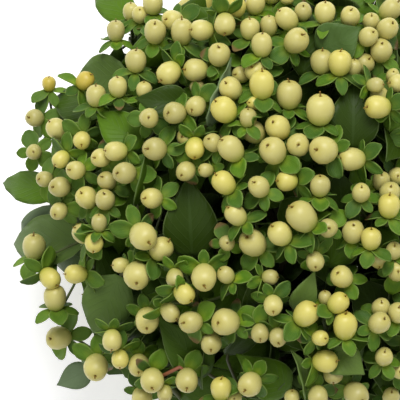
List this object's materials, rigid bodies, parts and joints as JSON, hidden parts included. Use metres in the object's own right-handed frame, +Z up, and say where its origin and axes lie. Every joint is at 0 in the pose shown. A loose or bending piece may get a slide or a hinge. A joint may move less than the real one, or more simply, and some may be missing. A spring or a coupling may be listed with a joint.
{
  "type": "cut bunch of tutsan in fruit",
  "caption": "Florist's bunch of woody stems lying on its side, with a dense domed head of pale oval berries in green sepals among broad dark leaves, held by an elastic band.",
  "frame": {"origin": "middle of the lying bunch's length and width, on the surface that it lies on", "axes": "+Y from the cut ends to the heads, +X across the bunch, +Z up from the surface"},
  "size_m": [0.2483, 0.404, 0.1638],
  "materials": {
    "foliage": "satin leaf green",
    "leaf": "satin, dark green above and paler below, with sunken veins",
    "sepal": "satin mid green with pale margins",
    "berry": "satin cream yellow skin with a brown tip",
    "wood": "matt brownish green bark, pale at the cuts",
    "elastic": "matt tan rubber"
  },
  "bodies": {
    "root": {"stem_01": "foliage", "stem_02": "foliage", "stem_03": "foliage", "stem_04": "foliage", "stem_05": "foliage", "stem_06": "foliage", "stem_07": "foliage", "stem_08": "foliage", "stem_09": "foliage", "stem_10": "foliage", "stem_11": "foliage", "stem_12": "foliage", "band": "elastic"}
  },
  "joints": []
}
